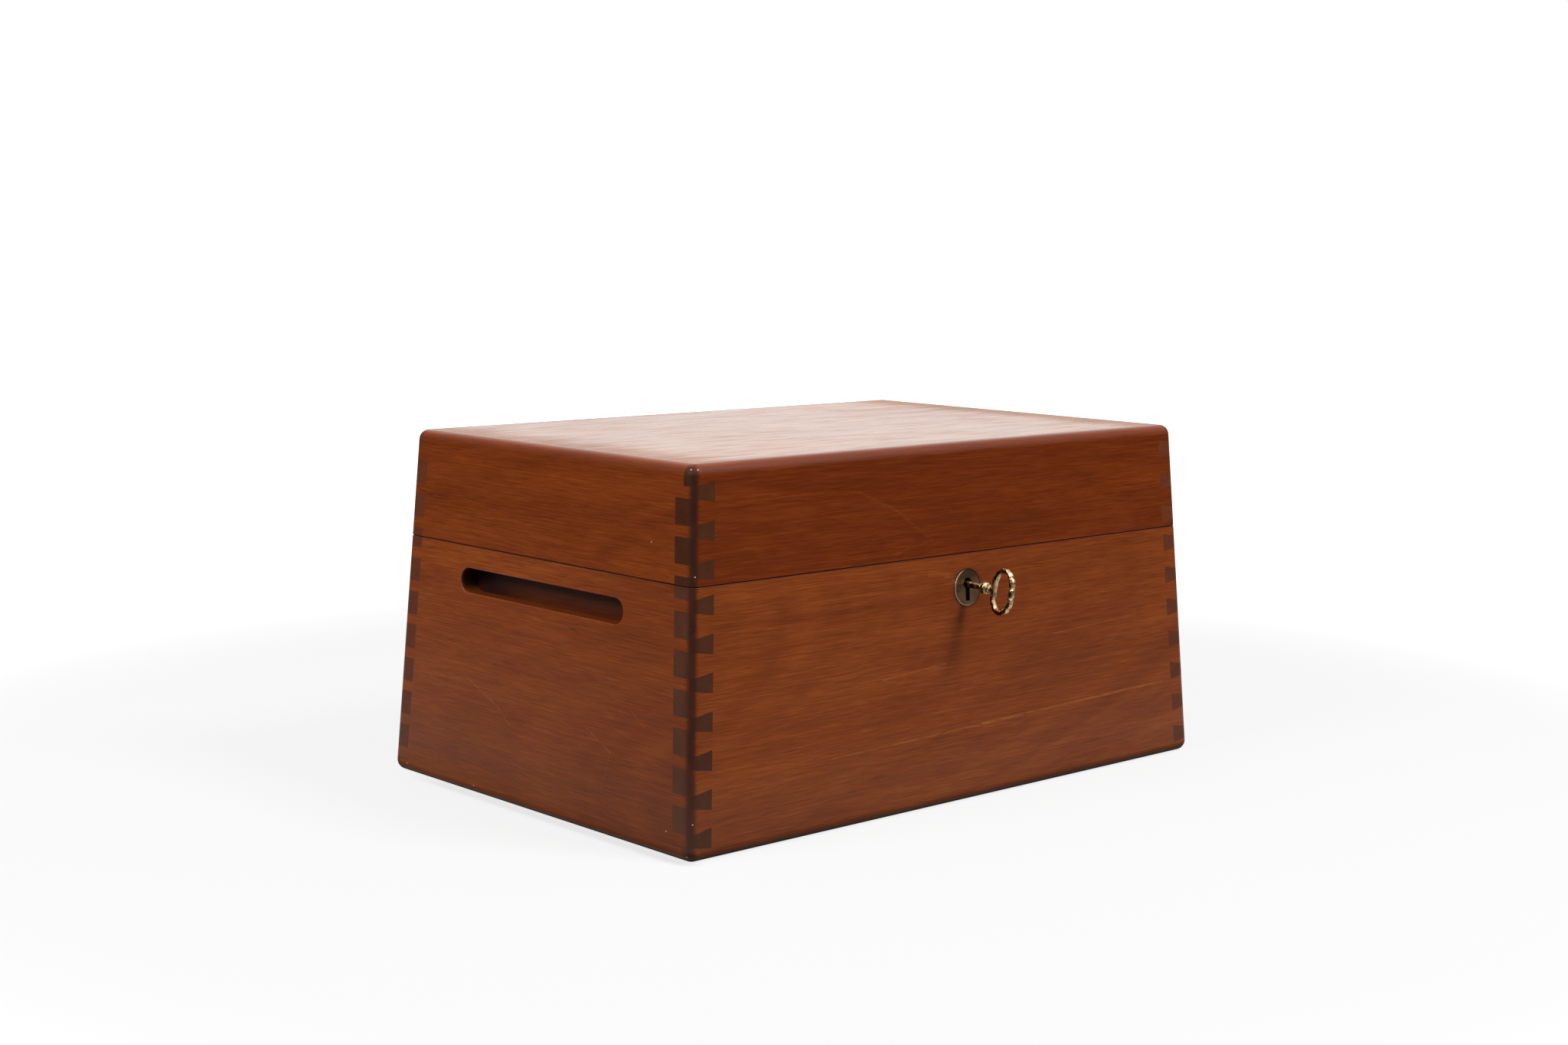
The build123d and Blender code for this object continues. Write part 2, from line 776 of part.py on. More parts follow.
def front_place(x, z):
    """A place on the leaning front face; local +Z points out of it."""
    return Pos(x, -half_y(z), z) * Rot(90 - lean, 0, 0)


def escutcheon():
    """A round plate let in nearly flush, pierced for the key and for two nails."""
    place = front_place(key_x, escutcheon_height)
    disc = Cylinder(escutcheon_radius, escutcheon_thickness)
    disc = fillet(disc.edges().sort_by(Axis.Z)[-1], escutcheon_round)
    disc = Pos(0, 0, escutcheon_proud - escutcheon_thickness / 2) * disc
    disc = place * disc
    for nail in nail_places():
        disc -= nail * nail_shank(hole_clearance)
    return disc - keyhole(0)


def nail_places():
    proud = Pos(0, 0, escutcheon_proud)
    xs = (key_x - nail_spread, key_x + nail_spread)
    return [front_place(x, escutcheon_height - nail_drop) * proud for x in xs]


def nail_shank(grow=0.0):
    return Pos(0, 0, -nail_length / 2) * Cylinder(nail_shank_radius + grow, nail_length)


def nail():
    """A round-headed escutcheon nail, head on the plate, pointing inwards."""
    rise = nail_dome
    ball = (nail_head_radius**2 + rise**2) / (2 * rise)
    head = (Pos(0, 0, rise - ball) * Sphere(ball)) & (Pos(0, 0, ball / 2) * Box(2 * ball, 2 * ball, ball))
    return head + nail_shank()


def escutcheon_room():
    place = front_place(key_x, escutcheon_height)
    deep = escutcheon_thickness - escutcheon_proud
    return place * Pos(0, 0, -deep + far / 2) * Cylinder(escutcheon_radius + escutcheon_clearance, far)


case_front -= escutcheon_room() & block((-far, -far, 0), (far, -half_y(height) + wall / 2, height))
for place in nail_places():
    case_front -= place * nail_shank(hole_clearance)


# Key


def key():
    """A pipe key with an open bow, turned to the angle at which it was left in the lock."""
    tip = plate_outer - key_end_gap
    start = front_at_key

    def out(distance):
        return start - distance

    shank = rod_y(key_shank_radius, out(bow_start + 1), tip, 0, 0)
    collar = Pos(0, out(key_collar_place), 0) * Rot(90, 0, 0) * Cylinder(key_collar_radius, key_collar_long)
    collar = fillet(collar.edges().filter_by(GeomType.CIRCLE), key_collar_long / 2.2)
    shank += collar
    for side in (-1, 1):
        place = key_collar_place + side * (key_collar_long + key_ring_long) / 2
        half = key_ring_long / 2
        shank += rod_y(key_ring_radius, out(place + half), out(place - half), 0, 0)
    shank += key_bow(out)
    bit_end = tip - bit_setback
    half = bit_thickness / 2
    bit = block((-half, bit_end - bit_length, -bit_reach), (half, bit_end, -key_pipe_radius))
    ward_middle, half_ward = bit_end - bit_length / 2, ward_wide / 2
    ward = block(
        (-far, ward_middle - half_ward, -far), (far, ward_middle + half_ward, -bit_reach + ward_deep)
    )
    whole = shank + (bit - ward) - rod_y(key_pipe_radius, tip - key_pipe_depth, tip + 1, 0, 0)
    return Pos(key_x, 0, key_height) * Rot(0, key_tilt, 0) * whole


def key_bow(out):
    """The flat open bow: a shouldered oval with an oval eye."""
    middle_y, middle_z = out(bow_start + bow_long / 2), -bow_drop
    plate = Rectangle(bow_long, bow_shoulder_tall)
    plate = fillet(plate.vertices(), bow_round * 2)
    ends = Rot(0, 0, 90) * SlotOverall(bow_tall, bow_end_long)
    eye = Rot(0, 0, 90) * SlotOverall(bow_eye_tall, bow_eye_long)
    outline = plate + ends - eye
    bow = extrude(Plane.YZ * outline, amount=bow_thickness / 2, both=True)
    rims = bow.faces().sort_by(Axis.X)[0].edges() + bow.faces().sort_by(Axis.X)[-1].edges()
    return Pos(0, middle_y, middle_z) * fillet(rims, bow_round)


# Every node, by name

nodes = {
    "case_front_board": case_front,
    "case_back_board": case_back,
    "case_left_board": case_left,
    "case_right_board": case_right,
    "bottom_panel": bottom_panel,
    "bottom_screws": group(bottom_screws),
    "lid_front_board": lid_front,
    "lid_back_board": lid_back,
    "lid_left_board": lid_left,
    "lid_right_board": lid_right,
    "top_panel": top_panel,
    "hinge_screws_case": group(case_hinge_screws),
    "hinge_screws_lid": group(lid_hinge_screws),
    "stay_arm": stay_arm(),
    "stay_lid_stud": stay_stud(stay_lid_height),
    "stay_case_stud": stay_stud(stay_case_height),
    "stay_lid_collar": stay_collar(stay_lid_height),
    "stay_case_collar": stay_collar(stay_case_height),
    "lock_plate": lock_plate(),
    "lock_case": lock_case(),
    "lock_guides": group(lock_guides()),
    "lock_bolt": lock_bolt(),
    "lock_spring": lock_spring(),
    "lock_drill_pin": drill_pin(),
    "lock_screws": group([place * small_screw() for place in lock_screw_places()]),
    "link_plate": link_plate(),
    "link_staples": group([link_staple(x) for x in staple_xs]),
    "link_screws": group([place * small_screw() for place in link_screw_places()]),
    "escutcheon": escutcheon(),
    "escutcheon_nails": group([place * nail() for place in nail_places()]),
    "key": key(),
}
nodes.update(hinge_parts)
for name, y in zip(("front_long_divider", "back_long_divider"), long_lines):
    nodes[name] = long_divider(y)
for number, x in enumerate(short_lines, 1):
    nodes[f"short_divider_{number}"] = short_divider(x)

os.makedirs("parts", exist_ok=True)
for name, shape in nodes.items():
    export_step(shape, f"parts/{name}.step")
print(len(nodes), "nodes")
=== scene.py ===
"""Looks of the dovetailed liquor box: varnished mahogany, aged brass, soft studio light.

Sizes and places are in millimetres, but for the floor's size, the lamps and the camera, which are in metres.
What fades over a surface has two or three numbers: where it begins, where it is full, and how strong it is.
"""

import json
import math

import bmesh
import bpy
from mathutils import Matrix, Vector


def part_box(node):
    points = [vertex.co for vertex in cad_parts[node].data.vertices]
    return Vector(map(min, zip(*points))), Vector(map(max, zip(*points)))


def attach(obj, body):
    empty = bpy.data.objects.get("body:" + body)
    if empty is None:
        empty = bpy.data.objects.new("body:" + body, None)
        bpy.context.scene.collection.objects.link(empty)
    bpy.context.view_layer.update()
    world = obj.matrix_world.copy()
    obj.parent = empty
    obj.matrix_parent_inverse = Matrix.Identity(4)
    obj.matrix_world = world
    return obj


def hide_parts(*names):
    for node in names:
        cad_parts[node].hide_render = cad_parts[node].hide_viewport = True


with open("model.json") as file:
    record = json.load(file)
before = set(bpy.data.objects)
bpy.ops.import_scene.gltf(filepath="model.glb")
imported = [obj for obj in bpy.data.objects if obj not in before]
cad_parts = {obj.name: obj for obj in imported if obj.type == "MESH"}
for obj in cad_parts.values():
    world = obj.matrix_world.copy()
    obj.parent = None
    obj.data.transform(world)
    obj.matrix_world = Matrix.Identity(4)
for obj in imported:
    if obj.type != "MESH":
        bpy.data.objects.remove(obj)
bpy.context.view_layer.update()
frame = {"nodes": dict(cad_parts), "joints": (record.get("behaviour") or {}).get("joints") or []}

MM = 0.001

# The outer walls: half their distance apart where their lines meet the floor, and their lean
HALF_X = 254.2
HALF_Y = 173.7
LEAN = math.tan(math.radians(3.29))
# The height of the gap between case and lid
SEAM = (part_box("case_front_board")[1][2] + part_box("lid_front_board")[0][2]) / 2 / MM
# The key's axis and the middle of the escutcheon, across and up
KEY_JOINT = next(joint for joint in frame["joints"] if joint["name"] == "key_turn")
KEY_X = KEY_JOINT["pos_m"][0] / MM
KEY_Z = KEY_JOINT["pos_m"][2] / MM
PLATE_X = KEY_X
PLATE_Z = 152.4


# Shader graphs


class Wire:
    """A socket of a graph. Arithmetic on it adds Math nodes."""

    def __init__(self, graph, socket):
        self.graph = graph
        self.socket = socket

    def maths(self, operation, *values, clamp=False):
        return self.graph.add("ShaderNodeMath", {"operation": operation, "use_clamp": clamp}, values)

    def __add__(self, other):
        return self.maths("ADD", self, other)

    def __radd__(self, other):
        return self.maths("ADD", other, self)

    def __sub__(self, other):
        return self.maths("SUBTRACT", self, other)

    def __rsub__(self, other):
        return self.maths("SUBTRACT", other, self)

    def __mul__(self, other):
        return self.maths("MULTIPLY", self, other)

    def __rmul__(self, other):
        return self.maths("MULTIPLY", other, self)

    def __truediv__(self, other):
        return self.maths("DIVIDE", self, other)

    def __rtruediv__(self, other):
        return self.maths("DIVIDE", other, self)

    def __pow__(self, other):
        return self.maths("POWER", self, other)

    def __rpow__(self, other):
        return self.maths("POWER", other, self)

    def __abs__(self):
        return self.maths("ABSOLUTE", self)

    def low(self, other):
        return self.maths("MINIMUM", self, other)

    def high(self, other):
        return self.maths("MAXIMUM", self, other)

    def clamped(self):
        return self.maths("ADD", self, 0.0, clamp=True)

    def swing(self, reach):
        """Noise, which lies about 0.5, as a swing about 0."""
        return (self - 0.5) * reach

    def step(self, start, end, level=1.0):
        """0 before start, level after end, smooth between; start may be the larger."""
        values = [self, end, start, level, 0.0] if start > end else [self, start, end, 0.0, level]
        return self.graph.add("ShaderNodeMapRange", {"interpolation_type": "SMOOTHSTEP"}, values)


class Graph:
    """The node graph of a material or of the world."""

    def __init__(self, owner):
        self.owner = owner
        owner.use_nodes = True
        self.tree = owner.node_tree

    def add(self, kind, settings, values, output=0):
        """Adds a node: its settings first, then values or wires for its sockets by number or name."""
        node = self.tree.nodes.new(kind)
        for name, setting in settings.items():
            if name == "stops":
                self.set_stops(node.color_ramp, setting)
            else:
                setattr(node, name, setting)
        pairs = values.items() if isinstance(values, dict) else enumerate(values)
        for key, value in pairs:
            self.feed(node.inputs[key], value)
        return Wire(self, node.outputs[output])

    def feed(self, socket, value):
        if isinstance(value, Wire):
            self.tree.links.new(value.socket, socket)
        else:
            socket.default_value = value

    @staticmethod
    def set_stops(ramp, stops):
        while len(ramp.elements) < len(stops):
            ramp.elements.new(0.5)
        for element, (position, colour) in zip(ramp.elements, stops):
            element.position = position
            element.color = colour

    def parts(self, vector):
        split = self.add("ShaderNodeSeparateXYZ", {}, [vector]).socket.node
        return [Wire(self, socket) for socket in split.outputs]

    def joined(self, x, y, z):
        return self.add("ShaderNodeCombineXYZ", {}, [x, y, z])

    def vector(self, operation, values, output=0):
        return self.add("ShaderNodeVectorMath", {"operation": operation}, values, output)

    def noise(self, vector, scale=1.0, detail=2.0, rough=0.5):
        values = {"Vector": vector, "Scale": scale, "Detail": detail, "Roughness": rough}
        return self.add("ShaderNodeTexNoise", {}, values, "Fac")

    def blend(self, factor, first, second, how="MIX"):
        settings = {"data_type": "RGBA", "blend_type": how}
        return self.add("ShaderNodeMix", settings, {0: factor, 6: first, 7: second}, 2)

    def ramp(self, factor, stops):
        return self.add("ShaderNodeValToRGB", {"stops": stops}, [factor.clamped()])

    def seen_by(self, kind):
        """1 for rays of a kind, such as Is Camera Ray."""
        return self.add("ShaderNodeLightPath", {}, [], kind)


class Finish(Graph):
    """A material: its graph, its surface shader, and a place in millimetres in the object's own axes."""

    def __init__(self, name):
        super().__init__(bpy.data.materials.new(name))
        self.material = self.owner
        self.shader = self.tree.nodes["Principled BSDF"]
        metres = self.add("ShaderNodeTexCoord", {}, [], "Object")
        self.place = self.vector("SCALE", {0: metres, 3: 1 / MM})

    def facing(self):
        """How squarely a surface faces along each of the object's own axes."""
        return dict(zip("xyz", self.parts(self.add("ShaderNodeTexCoord", {}, [], "Normal"))))

    def set(self, **inputs):
        """Sets sockets of the surface shader; underscores in a name stand for spaces."""
        for name, value in inputs.items():
            self.feed(self.shader.inputs[name.replace("_", " ")], value)

    def bump(self, height, strength, distance):
        values = {"Strength": strength, "Distance": distance * MM, "Height": height}
        self.set(Normal=self.add("ShaderNodeBump", {}, values))


def srgb(red, green, blue):
    """A colour as a picture shows it, 0 to 255, turned to the linear values that a shader takes."""

    def linear(value):
        value /= 255
        return value / 12.92 if value <= 0.04045 else ((value + 0.055) / 1.055) ** 2.4

    return (linear(red), linear(green), linear(blue), 1.0)


def from_plate(x, z):
    """How far a place on the front is from the escutcheon's middle."""
    return ((x - PLATE_X) ** 2 + (z - PLATE_Z) ** 2) ** 0.5


def dress(names, material):
    """Gives CAD nodes a material."""
    for name in names:
        node = frame["nodes"][name]
        if not node.material_slots:
            node.data.materials.append(None)
        for slot in node.material_slots:
            slot.material = material


# Wood: its tones and grain

MAHOGANY = {
    "dark": srgb(84, 33, 10),
    "mid": srgb(112, 50, 17),
    "light": srgb(138, 70, 28),
    "end": srgb(62, 31, 18),
    "end_light": srgb(79, 43, 28),
    "pore": srgb(58, 21, 9),
    # dark brown for handling grime, for painted shade on the upright corners, and for darkening toward the
    # foot
    "grime_and_shade": srgb(48, 20, 13),
    "chip": srgb(226, 196, 180),
    "dent": srgb(62, 44, 24),
    # grey-brown that greys the foot and paints the white floor's reflection on its rounding
    "grey_brown": srgb(128, 103, 88),
    # near black: painted contact shadow at the foot, and painted shade in the gap round the escutcheon
    "shadow_black": srgb(20, 10, 7),
    # painted shade for the grip pockets
    "pocket_shade": srgb(34, 14, 10),
    "streak": srgb(150, 84, 40),
}
PLAIN_WOOD = {
    "dark": srgb(120, 74, 42),
    "mid": srgb(148, 98, 60),
    "light": srgb(172, 122, 80),
    "end": srgb(104, 66, 40),
    "end_light": srgb(126, 84, 54),
    "pore": srgb(92, 54, 30),
}
# How far the grain wanders, in a slow sway and a shorter wobble, and how long each of these is along the
# grain, across it and into the board; marks follow a share of the wobble
SWAY = 5.0
SWAY_LENGTHS = (250, 100, 50)
WOBBLE = 0.9
WOBBLE_LENGTHS = (62.5, 12.5, 20)
MARK_WOBBLE = 0.5
# The growth rings' figure: how wide it is, how deep, its detail and roughness, and its share of the tone
FIGURE_WIDTH = 48
FIGURE_DEPTH = 50
FIGURE_NOISE = (4.0, 0.55)
FIGURE_SHARE = 0.5
# Streaks along the grain: length, width, detail and roughness, and then their share of the tone
STREAKS = {
    "broad": ((240, 34, 2.0, 0.5), 0.6),
    "band": ((120, 3.4, 3.0, 0.55), 0.42),
    "streak": ((34, 0.9, 2.0, 0.6), 0.9),
    "fine": ((15, 0.5, 1.0, 0.5), 0.8),
}
# Which of the fine streaks are open pores, and how dark these are
PORES = (0.62, 0.78)
PORE_DARKNESS = 0.4
# Speckles and blotches: how many there are to a millimetre, their shares of the end grain, and its contrast
SPECKLES = 0.9
BLOTCHES = 0.09
SPECKLE_SHARE = 0.4
BLOTCH_SHARE = 0.6
END_CONTRAST = 2.2
# A face shows end grain by how squarely it lies across the grain
CUT_ACROSS = (0.25, 0.8)

# How rough a varnished and a bare board are, and what streaks and end grain add to this
VARNISH_ROUGHNESS = 0.34
BARE_ROUGHNESS = 0.5
STREAK_ROUGHNESS = 0.2
END_ROUGHNESS = 0.1
COAT_ROUGHNESS = 0.2
VARNISH_IOR = 1.25
# How far streaks and bands lift the surface and pores sink it, and the strength and height of this relief
STREAK_LIFT = 0.6
BAND_LIFT = 0.4
PORE_SINK = 0.8
GRAIN_STRENGTH = 0.25
GRAIN_HEIGHT = 0.12


class Wood(Finish):
    """Wood whose growth rings close round a tip, with end grain where it is cut across.

    axes are the box's axes along the grain, across it and into the board.
    """

    def __init__(self, name, axes, seed, tip, spread, tones):
        super().__init__(name)
        self.axes = axes
        self.seed = seed
        self.tones = tones
        self.x, self.y, self.z = self.parts(self.place)
        places = {"x": self.x, "y": self.y, "z": self.z}
        self.along, across, self.deep = (places[axis] for axis in axes)
        faces = self.facing()
        self.upward = faces["z"]
        self.cut_across = abs(faces[axes[0]]).step(*CUT_ACROSS)
        sway = self.wander(across, SWAY_LENGTHS, (seed, 0.0, 0.0)).swing(SWAY)
        wobble = self.wander(across, WOBBLE_LENGTHS, (0.0, seed, 0.0)).swing(WOBBLE)
        self.level = across + sway + wobble
        self.spot = self.joined(self.along, across + wobble * MARK_WOBBLE, 0.0)
        off_tip = self.level - tip[1]
        self.ring = self.along - tip[0] + off_tip * off_tip / spread
        self.streaks = {kind: self.grainy(*size) for kind, (size, share) in STREAKS.items()}
        self.pore = self.streaks["fine"].step(*PORES)
        self.speckle = self.noise(self.place, SPECKLES)
        self.blotch = self.noise(self.place, BLOTCHES)
        self.colour = self.long_grain()

    def wander(self, across, lengths, shifts):
        """Slow noise that moves the grain to and fro across the board."""
        ways = zip((self.along, across, self.deep), lengths, shifts)
        return self.noise(self.joined(*(way / length + shift for way, length, shift in ways)), detail=1.0)

    def grainy(self, length, width, detail=2.0, rough=0.5):
        """Noise drawn out along the grain into streaks of a length and width."""
        place = self.joined(self.along / length + self.seed, self.level / width, self.deep / width)
        return self.noise(place, 1.0, detail, rough)

    def long_grain(self):
        """The figure of the growth rings, with streaks and open pores."""
        place = self.joined(self.ring / FIGURE_WIDTH, self.seed, self.deep / FIGURE_DEPTH)
        tone = 0.5 + self.noise(place, 1.0, *FIGURE_NOISE).swing(FIGURE_SHARE)
        for kind, (size, share) in STREAKS.items():
            tone = tone + self.streaks[kind].swing(share)
        stops = [(0.0, self.tones["dark"]), (0.5, self.tones["mid"]), (1.0, self.tones["light"])]
        return self.blend(self.pore * PORE_DARKNESS, self.ramp(tone, stops), self.tones["pore"])

    def cut_ends(self, strength):
        """Shows end grain where a face lies across the grain."""
        tone = 0.5 + (self.speckle * SPECKLE_SHARE + self.blotch * BLOTCH_SHARE).swing(END_CONTRAST)
        end_grain = self.ramp(tone, [(0.0, self.tones["end"]), (1.0, self.tones["end_light"])])
        self.colour = self.blend(self.cut_across * strength, self.colour, end_grain)

    def stain(self, amount, tone):
        self.colour = self.blend(amount, self.colour, self.tones[tone])

    def tint(self, amount, tint):
        self.colour = self.blend(amount, self.colour, tint, "MULTIPLY")

    def varnish(self, roughness, coat):
        streak = self.streaks["streak"]
        roughness = roughness + streak.swing(STREAK_ROUGHNESS) + self.cut_across * END_ROUGHNESS
        self.set(Base_Color=self.colour, Roughness=roughness, Coat_Weight=coat)
        self.set(Coat_Roughness=COAT_ROUGHNESS, IOR=VARNISH_IOR, Coat_IOR=VARNISH_IOR)
        height = streak * STREAK_LIFT - self.pore * PORE_SINK + self.streaks["band"] * BAND_LIFT
        self.bump(height, GRAIN_STRENGTH, GRAIN_HEIGHT)
        return self.material


# The boards of the box, with their marks, wear and painted shade

# The box's axes along the grain, across it and into the board, a seed, where the growth rings close, and how
# fast they open
BOARDS = {
    "case_front_board": ("xzy", 3.1, (60, 150), 70), "case_back_board": ("xzy", 11.7, (-90, 60), 50),
    "case_left_board": ("yzx", 21.3, (20, 30), 60), "case_right_board": ("yzx", 33.9, (-60, 120), 45),
    "lid_front_board": ("xzy", 41.2, (-28, 187), 12.5), "lid_back_board": ("xzy", 57.5, (70, 240), 30),
    "lid_left_board": ("yzx", 63.8, (-30, 160), 40), "lid_right_board": ("yzx", 71.4, (10, 250), 35),
    "top_panel": ("xyz", 87.6, (-60, 20), 30), "bottom_panel": ("xyz", 93.2, (90, -40), 40),
}
# Some boards came out of the varnish a little redder or darker than the others; the top's paler tint is a
# painted sheen of light on its varnish
TINTS = {
    "lid_front_board": (0.8, 0.63, 0.28, 1.0), "case_front_board": (1.15, 1.17, 1.0, 1.0),
    "lid_left_board": (1.0, 0.9, 0.5, 1.0), "case_left_board": (1.0, 0.96, 0.72, 1.0),
    "top_panel": (1.3, 1.75, 1.65, 1.0),
}
# What the far part of the left side is lighter by, and how this fades along it
LIGHTENED = (1.35, 1.46, 1.6, 1.0)
LIGHTENED_ALONG = (-130.0, 20.0, 0.6)
# How strongly the end grain stands out where it isn't plain
FAINT_ENDS = {
    "lid_right_board": 0.4, "case_right_board": 0.6, "lid_back_board": 0.5, "case_back_board": 0.6,
}
# Streaks and scratches: start and end along and across the grain, half width, tone, strength
MARKS = {
    "case_front_board": [
        ((-128, 50), (40, 53.5), 1.0, "streak", 0.45), ((20, 53.5), (222, 58), 1.3, "streak", 0.6),
        ((-78, 97), (-16, 101), 1.0, "streak", 0.4), ((90, 109), (185, 113), 0.8, "streak", 0.35),
        ((-40, 44), (60, 45), 0.8, "dark", 0.4), ((-30, 166), (-8, 162), 3.0, "streak", 0.3),
    ],
    "lid_front_board": [
        ((-200, 233), (-95, 227), 2.0, "streak", 0.25), ((-95, 227), (-60, 212), 1.8, "streak", 0.25),
        ((-60, 212), (-27, 189), 1.6, "streak", 0.22), ((-64, 182), (-32, 188), 1.4, "streak", 0.2),
    ],
    "lid_left_board": [
        ((150, 211), (114, 209), 1.2, "dark", 0.8), ((146, 208), (125, 210), 0.8, "grime_and_shade", 0.6),
    ],
    "case_left_board": [
        ((-37, 134.6), (-46, 133.4), 1.6, "dent", 0.85), ((80, 82), (43, 68), 0.6, "streak", 0.5),
        ((43, 68), (28, 57), 0.6, "streak", 0.45), ((-60, 70), (-87, 58), 0.6, "streak", 0.5),
        ((-87, 58), (-78, 30), 0.5, "streak", 0.3), ((-106, 90), (-122, 80), 0.5, "streak", 0.35),
    ],
}
# The share of a mark's half width that has its full strength, the length and width of the breaks in it, and
# the noise that leaves it whole
MARK_CORE = 0.3
BREAKS = (9, 1.0)
UNBROKEN = (0.3, 0.6)
# Small chips where the varnish is gone
CHIPS = [
    (-238.0, -154.8, 251.6), (-234.8, -157.8, 251.6), (-240.4, -161.8, 183.7), (-249.5, -170.9, 25.6),
    (-253.2, -148.5, 17.6), (-252.5, -168.6, 4.5), (-241.1, -171.8, 3.1), (-242.6, -120.3, 202.1),
    (-253.7, 155.1, 7.2), (-253.7, 68.5, 6.6),
]
CHIP_RADIUS = 0.62
CHIP_CORE = 0.5
CHIP_STRENGTH = 0.6
# The upright corners, by how far a place lies inside both walls, dark in patches from handling, with painted
# shade on their rounding
CORNER = (6.4, 2.8)
CORNER_DARKNESS = 0.75
CORNER_BLOTCHES = 0.9
CORNER_SPECKLES = 0.7
# Grime and painted shade in the seam, by how far a place lies from it
SEAM_DIRT_AND_SHADE = (0.9, 0.5, 0.75)
# The foot, by height: it darkens, on each board by its axes, and greys; its lower rounding has a painted
# reflection of the white floor, and a painted black contact shadow below
FOOT_DARK = {"xzy": (140.0, 10.0, 0.03), "yzx": (140.0, 10.0, 0.2)}
FOOT_GREY = (70.0, 4.0, 0.09)
FOOT_REFLECTION = (5.0, 3.2)
FOOT_REFLECTION_LEVEL = 0.6
FOOT_REFLECTION_BANDS = 0.9
FOOT_CONTACT_SHADOW = (1.35, 1.0, 0.98)
# Painted shade on the rounding of the lid's upper edge, by how far it faces upward, from its start to its
# end
ROUNDING_STARTS = (0.08, 0.4, 0.35)
ROUNDING_ENDS = (0.6, 0.9, 0.35)
# The grips: half the length of the middle line, its height, and how far the pocket reaches from it
GRIP_HALF = 84.8
GRIP_HEIGHT = 152.3
GRIP = (12, 10)
# It has painted shade between its mouth and its floor, by depth, more so where it is deep and to the back,
# and less so on its ledge, by how far this faces upward
GRIP_MOUTH = (0.6, 4.0)
GRIP_FLOOR = (17.0, 15.0)
GRIP_DARKNESS = 0.55
GRIP_DEEP = (3.0, 14.0, 0.15)
GRIP_BACK = (20.0, 80.0, 0.3)
GRIP_LEDGE = (0.4, 0.8, 0.7)
# Round the escutcheon, by the distance from its middle: polish that has built up, and a dark line of painted
# shade in the gap against it
PLATE_POLISH = (17.0, 13.5, 0.3)
PLATE_GAP_SHADE = (13.9, 13.4, 0.85)
# The varnish's coat: thin on the sides, thick on the top and on the lid's flat rim
THIN_COAT = 0.15
TOP_COAT = 0.85
RIM_COAT = (0.6, 0.95, 0.8)
# By height, the lid's upper edge loses its coat and is rubbed dull by hands
EDGE_COAT = (250.0, 246.0, THIN_COAT)
EDGE_DULL = (247.0, 251.0, 0.22)
# The top is rubbed toward its ends, to the right, and toward its front and back
ENDS_RUBBED = (60.0, 8.0, 0.75)
RIGHT_RUBBED = (90.0, 240.0, 0.3)
FRONTS_RUBBED = (20.0, 9.0, 0.2)
# Reeds in the top's coat: length, width, detail and roughness, and how much they and the streaks stand out
REEDS = (50, 4.5, 3.0, 0.6)
REED_CONTRAST = 2.2
STREAK_CONTRAST = 1.2


